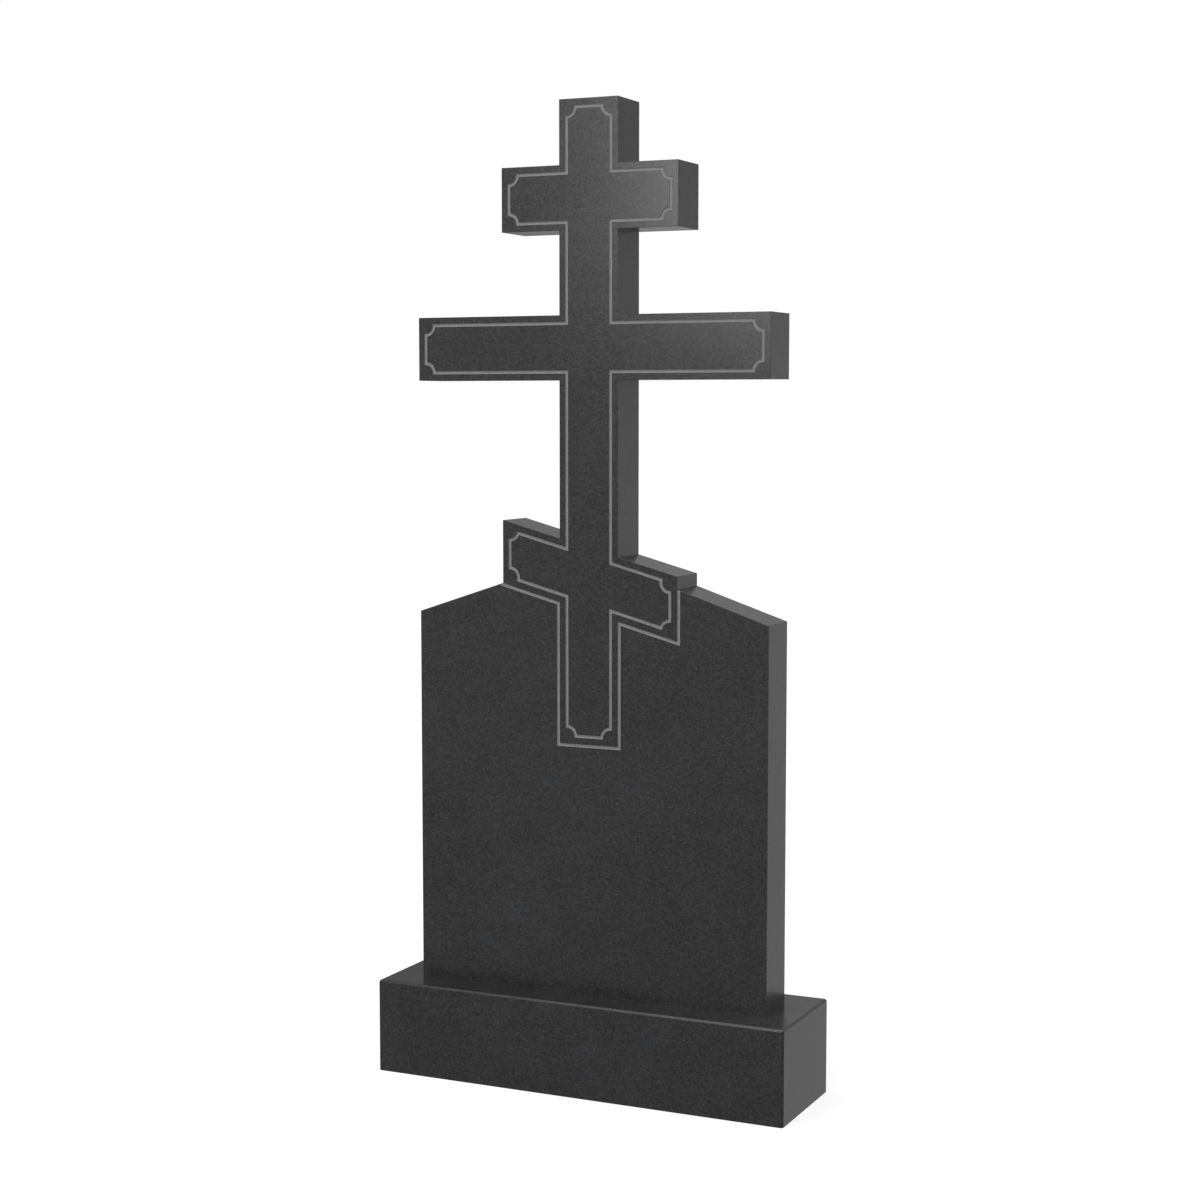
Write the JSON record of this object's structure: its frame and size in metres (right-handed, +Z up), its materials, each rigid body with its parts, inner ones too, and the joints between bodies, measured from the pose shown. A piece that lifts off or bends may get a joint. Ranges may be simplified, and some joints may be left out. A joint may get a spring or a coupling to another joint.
{
  "type": "memorial stele",
  "caption": "Upright slab of polished dark stone whose top is cut as a cross with a slanted lower bar, on a low bevelled plinth.",
  "frame": {"origin": "centre of the plinth's underside, on the ground", "axes": "+Z up, +X to the viewer's right along the width, engraved front faces -Y"},
  "size_m": [0.7, 0.2, 1.55],
  "materials": {
    "polished_stone": "mirror-polished dark fine-grained granite with pale frosted engraved lines",
    "dowel_steel": "plain stainless bar, hidden inside the stones"
  },
  "bodies": {
    "root": {"plinth": "polished_stone", "stele": "polished_stone", "dowel_left": "dowel_steel", "dowel_right": "dowel_steel"}
  },
  "joints": []
}
